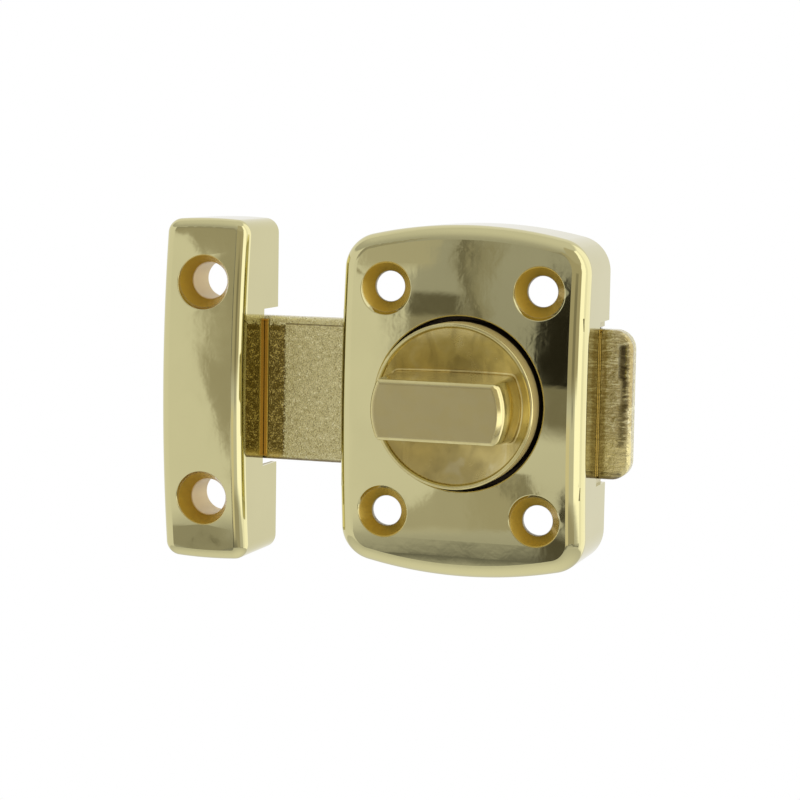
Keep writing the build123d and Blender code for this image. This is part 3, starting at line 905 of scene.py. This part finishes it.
@dataclass
class Housing:
    """Case and strike, the two polished castings."""

    colour: Colour = (0.66, 0.61, 0.325)
    deep_colour: Colour = (0.57, 0.39, 0.055)
    cavity_colour: Colour = (0.50, 0.43, 0.20)
    case_throat_colour: Colour = (0.55, 0.52, 0.42)
    strike_throat_colour: Colour = (0.78, 0.62, 0.33)
    roughness: float = 0.03
    opening_radius: float = 14.75 * MM
    bore_start: float = 1.0 * MM
    case_corner: float = 6.0 * MM
    strike_corner: float = 2.6 * MM
    case_sink_radius: float = 4.45 * MM
    strike_sink_radius: float = 4.75 * MM
    case_wave: float = 0.05 * MM
    strike_wave: float = 0.03 * MM

    def plating(self, node: str, throat: Colour, corner: float, holes: HolePattern, wave: float,
                seed: float, bore: float = 0.0) -> PolishedPlating:
        """Polished plating laid out for one of the two castings.

        Args:
            node: name of the casting's CAD node.
            throat: colour inside the screw holes.
            corner: corner radius seen from the front.
            holes: its screw holes.
            wave: height of the waviness.
            seed: shift of the patterns, so that the two castings differ.
            bore: radius of the knob's opening, or 0.

        Returns:
            The finish.
        """
        low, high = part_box(node)
        hollow = Hollow((low.x + high.x) / 2, (high.x - low.x) / 2, high.z, corner, -low.y)
        return PolishedPlating("polished_brass_" + node, self.colour, self.deep_colour, throat,
                               self.cavity_colour, self.roughness, holes, hollow, wave, seed, bore,
                               -low.y - self.bore_start)

    def dress(self, box: Paintbox) -> None:
        """Finishes the case and the strike.

        Args:
            box: the shared node groups.
        """
        case = self.plating("case", self.case_throat_colour, self.case_corner,
                            hole_pattern("case_screws", self.case_sink_radius), self.case_wave, 0.0,
                            self.opening_radius)
        strike = self.plating("strike", self.strike_throat_colour, self.strike_corner,
                              hole_pattern("strike_screws", self.strike_sink_radius), self.strike_wave, 0.3)
        dress_node("case", case.build(box))
        dress_node("strike", strike.build(box))


@dataclass
class TurnKnob:
    """Knob with its pinion, and the rack that the pinion drives."""

    colour: Colour = (0.64, 0.57, 0.28)
    dish_colour: Colour = (0.62, 0.51, 0.21)
    top_colour: Colour = (0.49, 0.42, 0.21)
    flank_colour: Colour = (0.68, 0.54, 0.22)
    rim_rise: float = 3.5 * MM
    gap_drop: float = 0.2 * MM
    gear: Steel = Steel("sintered_steel", (0.42, 0.41, 0.40), (0.30, 0.29, 0.28), 0.38, 900.0)

    def dress(self, box: Paintbox) -> None:
        """Finishes the knob, the pinion and the rack.

        Args:
            box: the shared node groups.
        """
        low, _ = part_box("knob")
        case_low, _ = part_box("case")
        crown = -case_low.y
        knob = KnobPlating("plated_knob", self.colour, self.dish_colour, self.top_colour, self.flank_colour,
                           crown + self.rim_rise, -low.y, crown - self.gap_drop)
        dress_node("knob", knob.build(box))
        gear = self.gear.build(box)
        dress_node("pinion", gear)
        dress_node("rack", gear)


@dataclass
class SlidingBolt:
    """The cast bolt, whose front face has bands of painted shade and painted light beside strike and case.
    Places are in millimetres.
    """

    colour: Colour = (0.72, 0.66, 0.38)
    # Painted shade in the grain's pits and painted highlights on its crests.
    pit_shade_colour: Colour = (0.46, 0.39, 0.17)
    crest_highlight_colour: Colour = (0.92, 0.87, 0.60)
    # Painted light and shade on the bolt's front: an amber glow of light bounced between bolt and walls, an
    # olive shade and dark streaks of shade.
    amber_glow: Colour = (0.64, 0.34, 0.06)
    shade_olive: Colour = (0.40, 0.31, 0.13)
    shade_streak: Colour = (0.06, 0.042, 0.016)
    roughness: float = 0.13
    grain_height: float = 0.25 * MM
    ripple_lead: float = 1.5

    def entry_bands(self, low: Vector, high: Vector, wall: float) -> tuple[Band, ...]:
        """Bands beside the strike, all painted light and shade: a dark speckled stretch of painted shade,
        its golden foot and an amber line of painted glow.

        Args:
            low: lower corner of the bolt's box.
            high: upper corner of the bolt's box.
            wall: X of the strike's right wall.

        Returns:
            The bands, each over the ones before it.
        """
        line = (low.z + 0.6, high.z - 0.5)
        return (
            Band((wall - 9, wall + 3.95), (low.z + 1, high.z - 1.4), 0.15, (0.16, 0.112, 0.022), 1.0,
                 ragged=1.6, speck=(0.70, 0.57, 0.21)),
            Band((wall - 9, wall + 3.6), (low.z - 3, low.z + 1.3), 0.9, (0.62, 0.46, 0.12), 0.9, 0.3,
                 ragged=1.2, speck=(0.80, 0.66, 0.26)),
            Band((wall - 1, wall + 0.9), line, 0.12, (0.66, 0.50, 0.16), 0.8, 0.9),
            Band((wall - 1, wall + 0.65), line, 0.12, self.amber_glow, 1.0, 0.9),
        )

    def tail_bands(self, low: Vector, high: Vector, wall: float) -> tuple[Band, ...]:
        """Bands on the tail, all painted light and shade: an olive ground, a lighter foot, an amber line of
        painted glow by the case and dark streaks of painted shade.

        Args:
            low: lower corner of the bolt's box.
            high: upper corner of the bolt's box.
            wall: X of the case's right wall.

        Returns:
            The bands, each over the ones before it.
        """
        end = high.x
        whole = (low.z - 1, high.z + 1)
        return (
            Band((wall - 1, end + 1), whole, 0.3, self.shade_olive, 0.6, ragged=0.6, speck=(0.72, 0.64, 0.36)),
            Band((wall - 1, end + 4), (low.z - 5, -5.5), 2.4, (0.80, 0.70, 0.34), 0.75, 0.3),
            Band((end - 0.7, end + 1), (0, high.z - 2), 0.3, self.shade_olive, 0.7),
            Band((wall - 1, wall + 1.2), whole, 0.35, (0.30, 0.21, 0.05), 0.75, 0.2,
                 ragged=0.7, speck=(0.50, 0.39, 0.12)),
            Band((wall - 1, wall + 0.3), whole, 0.08, (0.80, 0.58, 0.18), 0.9, 0.8),
            Band((end - 1.7, end - 0.8), (-1, 7), 0.35, self.shade_streak, 0.9, 0.4, ragged=1.5),
            Band((end - 2.15, end - 0.95), (4.5, high.z - 2.4), 0.4, self.shade_streak, 0.95, 0.8, ragged=0.6),
            Band((end - 2.2, end - 1), (low.z + 5.5, 0.5), 0.3, (0.12, 0.09, 0.03), 0.7, ragged=3.0),
            Band((end - 5, end - 1.5), (low.z - 1, low.z + 1.3), 0.3, (0.05, 0.035, 0.015), 0.7, ragged=2.0),
        )

    def edge_bands(self, low: Vector, high: Vector, span: Span) -> tuple[Band, ...]:
        """A thin line under the upper edge, and the shaded lower edge.

        Args:
            low: lower corner of the bolt's box.
            high: upper corner of the bolt's box.
            span: X of the line's two ends.

        Returns:
            The bands.
        """
        edge = high.z - 1.25
        return (
            Band(span, (edge - 0.12, edge + 0.12), 0.1, (0.20, 0.15, 0.06), 0.9, 0.5),
            Band((low.x, high.x), (low.z - 1, low.z + 0.5), 0.2, (0.14, 0.10, 0.04), 0.9, 0.5),
        )

    def dress(self, box: Paintbox) -> None:
        """Finishes the bolt.

        Args:
            box: the shared node groups.
        """
        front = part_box("bolt")[0].y
        low, high = (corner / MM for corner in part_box("bolt"))
        case_low, case_high = (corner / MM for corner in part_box("case"))
        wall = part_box("strike")[1].x / MM
        bands = (*self.entry_bands(low, high, wall), *self.tail_bands(low, high, case_high.x),
                 *self.edge_bands(low, high, (wall + 4, case_low.x)))
        bolt = CastPlating("cast_brass_bolt", self.colour, self.pit_shade_colour, self.crest_highlight_colour,
                           self.roughness, self.grain_height, (case_high.x - self.ripple_lead) * MM,
                           front, bands)
        dress_node("bolt", bolt.build(box))


@dataclass
class InnerWorks:
    """Plates, bush, pins, springs and fasteners behind the front."""

    spring: Steel = Steel("spring_steel", (0.30, 0.31, 0.36), (0.22, 0.22, 0.28), 0.25, 2600.0)
    zinc: Steel = Steel("zinc_plated_steel", (0.62, 0.63, 0.64), (0.52, 0.53, 0.50), 0.22, 1800.0)
    brass: Steel = Steel("turned_brass", (0.66, 0.49, 0.20), (0.56, 0.40, 0.15), 0.22, 2600.0)
    bright: Steel = Steel("bright_fastener", (0.56, 0.56, 0.55), (0.46, 0.46, 0.45), 0.24, 2200.0)

    def dress(self, box: Paintbox) -> None:
        """Finishes every inner piece.

        Args:
            box: the shared node groups.
        """
        for steel, finish, nodes in (
                (self.spring, Slot.SPRING, ("wave_washer", "leaf_spring", "retaining_clip")),
                (self.zinc, Slot.ZINC, ("bearing_plate", "back_plate")),
                (self.brass, Slot.BUSH, ("knob_bush",)),
                (self.bright, Slot.FASTENER, ("stop_pin", "standoffs", "back_plate_screws", "rack_rivets",
                                              "leaf_spring_rivets"))):
            material = steel.build(box)
            for node in nodes:
                dress_node(node, material)


# ---------- studio


@dataclass(frozen=True)
class Panel:
    """A soft-edged patch of the studio round the latch, by azimuth and elevation in degrees.

    Azimuth runs from -Y (in front of the latch) towards +X. A lean moves the patch sideways by that
    many degrees for each degree of elevation above its middle. Its upper and lower edges are as soft as
    the other two, unless fade says otherwise.
    """

    azimuth: Span
    elevation: Span
    soft: float
    level: float
    lean: float = 0.0
    warmth: float = 0.0
    fade: float = 0.0

    def colour(self) -> Colour:
        """Colour of the patch; warmth takes blue away and adds some red."""
        return (self.level * (1.0 + 0.2 * self.warmth), self.level, self.level * (1.0 - 0.5 * self.warmth))


# Each panel lies over the ones before it.
PANELS = (
    # The left, the back and the right, which the outer roundings and walls see.
    Panel((-400, -26), (-40, 28), 4, 0.90),
    Panel((-400, -100), (-62, 62), 12, 0.92),
    Panel((100, 400), (-62, 62), 12, 0.90),
    Panel((100, 152), (-30, 62), 12, 1.38),
    # Front right, which the right-hand roundings of case and strike and the knob's dish see.
    Panel((-12, 10), (-24, -8), 3, 0.80, warmth=0.4),
    Panel((42, 88), (-17, 62), 7, 1.55, fade=3),
    Panel((-12, 55), (-4, 30), 5, 0.47, warmth=0.4),
    Panel((0, 60), (27, 64), 5, 0.54, warmth=0.3),
    Panel((14, 32), (-4, 10), 6, 0.27, warmth=0.4),
    Panel((6, 50), (-24.5, -18.5), 3, 0.44, warmth=0.3),
    Panel((-34, -10), (14.5, 21), 3, 0.36, warmth=0.2),
    Panel((86, 104), (-30, 62), 5, 1.20),
    # The strike's front, and the left of the case's: a bright sheet, with dark wedges and a smear on it.
    Panel((-40, -18.15), (-21.5, 14), 0.35, 0.86, -0.02, fade=3),
    Panel((-23.6, -21.2), (9.2, 14), 0.2, 0.42, -0.74, 0.3, 0.5),
    Panel((-33, -21.6), (14, 27), 0.6, 0.38, warmth=0.2, fade=3),
    Panel((-26.5, -24.2), (-24.9, -22.9), 0.5, 0.37, warmth=0.2),
    Panel((-25.1, -24.75), (-24.2, -23.95), 0.12, 0.16, warmth=0.4),
    Panel((-19.6, -17.9), (10, 17), 0.5, 0.54, warmth=0.2, fade=2),
    Panel((-20, -16.9), (-20, -9), 0.5, 0.83, fade=3),
    Panel((-23.1, -21.6), (-17, 30), 0.15, 0.42, -0.01, 0.3),
    # Upper middle of the case's front.
    Panel((-18.2, -16.4), (1.5, 5), 0.5, 0.34, -0.02, 0.3, 1),
    Panel((-18.3, -17), (4.4, 7), 0.4, 0.14, -0.02, 0.4, 0.9),
    Panel((-17, -16.1), (4, 14), 0.5, 0.34, -0.04, 0.3, 3),
    Panel((-16.93, -16.66), (3, 15), 0.15, 0.17, -0.04, 0.4, 2),
    # Right of the case's front.
    Panel((-15.1, -13.1), (-9.6, -3), 0.8, 0.22, warmth=0.4, fade=3),
    Panel((-14.95, -13.1), (-3.8, 7), 0.3, 0.02, 0.015, 0.5, 0.8),
    Panel((-14.4, -13), (5, 13.5), 0.3, 0.03, warmth=0.5, fade=2),
    # Bottom of the case's front.
    Panel((-18.85, -16.2), (-22, -16), 0.4, 0.51, 0.32, 0.2, 1.5),
    Panel((-17.2, -15.8), (-22, -14.5), 0.5, 0.46, warmth=0.3),
    Panel((-15.9, -15.5), (-21, -14.5), 0.25, 0.25, warmth=0.4),
    Panel((-16.1, -13), (-25.3, -21.9), 0.7, 0.10, warmth=0.4, fade=1.2),
    Panel((-14.5, -13.4), (-24, -16), 0.3, 0.07, warmth=0.4, fade=2),
    Panel((20, 30), (-8, -5), 3, 0.42),
)


@dataclass
class Studio:
    """World, floor and camera."""

    camera_azimuth: float = 18.24
    camera_elevation: float = 6.23
    camera_roll: float = 0.96
    camera_distance: float = 415.6 * MM
    camera_target: Triple = (-15.89 * MM, 0.0, -1.69 * MM)
    camera_near: float = 10 * MM
    lens: float = 105.7
    sensor_width: float = 36.0
    floor_drop: float = 120 * MM
    floor_radius: float = 240 * MM
    floor_sides: int = 96
    floor_colour: Colour = (0.8, 0.8, 0.8)
    floor_glow: Span = (0.95, 0.68)
    floor_glow_seen: float = 1.3
    floor_fade: Span = (0.6, 0.98)
    floor_share: float = 0.65
    elevation_levels: tuple[Span, ...] = (
        (-90, 0.95), (-60, 0.88), (-48, 0.80), (-34, 0.74), (-28, 0.70), (-26.4, 0.58), (-25.6, 0.36),
        (-25.1, 0.12), (-24.7, 0.14), (-24, 0.48), (-21, 0.62), (-17, 0.72), (-8, 0.76), (-3, 0.58),
        (1, 0.44), (12, 0.46), (25, 0.50), (40, 0.58), (55, 0.72), (70, 0.80), (90, 0.82))
    panels: tuple[Panel, ...] = PANELS

    def build_world(self) -> None:
        """White to the camera; for light and reflections, levels by elevation with panels over them."""
        world = bpy.data.worlds.new("studio")
        bpy.context.scene.world = world
        world.use_nodes = True
        net = Net(world.node_tree)
        x, y, z = net.parts(net.add("ShaderNodeTexCoord").outputs["Generated"])
        degree = math.degrees(1.0)
        azimuth = net.times(net.maths("ARCTAN2", x, net.times(y, -1.0)), degree)
        elevation = net.times(net.maths("ARCSINE", z), degree)
        ramp = net.add("ShaderNodeValToRGB", {0: net.maths("DIVIDE", net.plus(elevation, 90.0), 180.0)})
        stops = ramp.color_ramp.elements
        while len(stops) < len(self.elevation_levels):
            stops.new(1.0)
        for stop, (angle, level) in zip(stops, self.elevation_levels):
            stop.position = (angle + 90.0) / 180.0
            stop.color = (level, level, level, 1.0)
        colour = ramp.outputs[0]
        for panel in self.panels:
            colour = self.lay_panel(net, panel, azimuth, elevation, colour)
        seen = net.add("ShaderNodeLightPath").outputs["Is Camera Ray"]
        colour = net.blend(seen, colour, (1.0, 1.0, 1.0))
        background = net.add("ShaderNodeBackground", {"Color": colour, "Strength": 1.0})
        net.feed(net.add("ShaderNodeOutputWorld").inputs["Surface"], background.outputs[0])

    def lay_panel(self, net: Net, panel: Panel, azimuth: Socket, elevation: Socket, under: Socket) -> Socket:
        """Lays one more panel over the studio.

        Args:
            net: the world's Net.
            panel: the panel.
            azimuth: azimuth of the direction looked in, in degrees.
            elevation: its elevation, in degrees.
            under: colour of the studio so far.

        Returns:
            Colour of the studio with the panel.
        """
        lean = net.times(net.minus(elevation, sum(panel.elevation) / 2), panel.lean)
        fade = panel.fade or panel.soft
        inside = net.times(net.within(net.minus(azimuth, lean), *panel.azimuth, panel.soft / 2),
                           net.within(elevation, *panel.elevation, fade / 2))
        return net.blend(inside, under, panel.colour())

    def build_floor(self) -> None:
        """Pale round floor below the latch: white to the camera apart from the shadow that it keeps.

        Its rim is radius times (cosine, sine) at even steps of a full turn, closed by one face.
        """
        low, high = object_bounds()
        centre = (low + high) / 2
        mesh = bpy.data.meshes.new("floor")
        turn = np.linspace(0.0, 2.0 * np.pi, self.floor_sides, endpoint=False)
        rim = np.column_stack((np.cos(turn), np.sin(turn), 0.0 * turn)) * self.floor_radius
        mesh.from_pydata(rim.tolist(), [], [tuple(range(len(rim)))])
        floor = bpy.data.objects.new("floor", mesh)
        floor.location = (centre.x, centre.y, low.z - self.floor_drop)
        bpy.context.scene.collection.objects.link(floor)
        mesh.materials.append(self.floor_material())
        floor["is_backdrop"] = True

    def floor_material(self) -> Material:
        """Pale diffuse floor that glows: evenly to the camera, weaker towards its rim to other rays.

        Returns:
            The material.
        """
        material = bpy.data.materials.new("pale_floor")
        material.use_nodes = True
        net = Net(material.node_tree)
        reach = net.length(net.add("ShaderNodeTexCoord").outputs["Object"])
        path = net.add("ShaderNodeLightPath").outputs
        seen = path["Is Camera Ray"]
        level = net.step(reach, 0.0, self.floor_radius, *self.floor_glow)
        plain = net.add("ShaderNodeBsdfDiffuse", {"Color": self.floor_colour})
        strength = net.step(seen, 0.0, 1.0, level, self.floor_glow_seen)
        glow = net.add("ShaderNodeEmission", {"Color": (1.0, 1.0, 1.0), "Strength": strength})
        start, end = (self.floor_radius * share for share in self.floor_fade)
        fade = net.step(reach, start, end, self.floor_share, 1.0)
        share = net.step(seen, 0.0, 1.0, path["Is Glossy Ray"], fade)
        mixed = net.add("ShaderNodeMixShader", {0: share, 1: plain.outputs[0], 2: glow.outputs[0]})
        net.feed(net.add("ShaderNodeOutputMaterial").inputs["Surface"], mixed.outputs[0])
        return material

    def build_camera(self) -> None:
        """Camera at its azimuth and elevation round the target, rolled about its own axis."""
        across, up, roll = (math.radians(angle) for angle in
                            (self.camera_azimuth, self.camera_elevation, self.camera_roll))
        back = Vector((math.sin(across) * math.cos(up), -math.cos(across) * math.cos(up), math.sin(up)))
        side = Vector((math.cos(across), math.sin(across), 0.0))
        top = back.cross(side)
        right = side * math.cos(roll) + top * math.sin(roll)
        above = top * math.cos(roll) - side * math.sin(roll)
        data = bpy.data.cameras.new("camera")
        data.lens = self.lens
        data.sensor_width = self.sensor_width
        data.clip_start = self.camera_near
        camera = bpy.data.objects.new("camera", data)
        bpy.context.scene.collection.objects.link(camera)
        turned = Matrix((right, above, back)).transposed().to_4x4()
        turned.translation = Vector(self.camera_target) + back * self.camera_distance
        camera.matrix_world = turned
        bpy.context.scene.camera = camera

    def build(self) -> None:
        """Builds the whole studio."""
        self.build_world()
        self.build_floor()
        self.build_camera()
        bpy.context.scene.view_settings.view_transform = "Standard"


def main() -> None:
    """Builds the finishes, dresses the latch and sets the studio round it."""
    logging.basicConfig(level=logging.INFO, format="%(name)s: %(message)s")
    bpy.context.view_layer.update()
    box = Paintbox()
    for group in (Housing(), TurnKnob(), SlidingBolt(), InnerWorks()):
        group.dress(box)
    Studio().build()


if __name__ == "__main__":
    main()
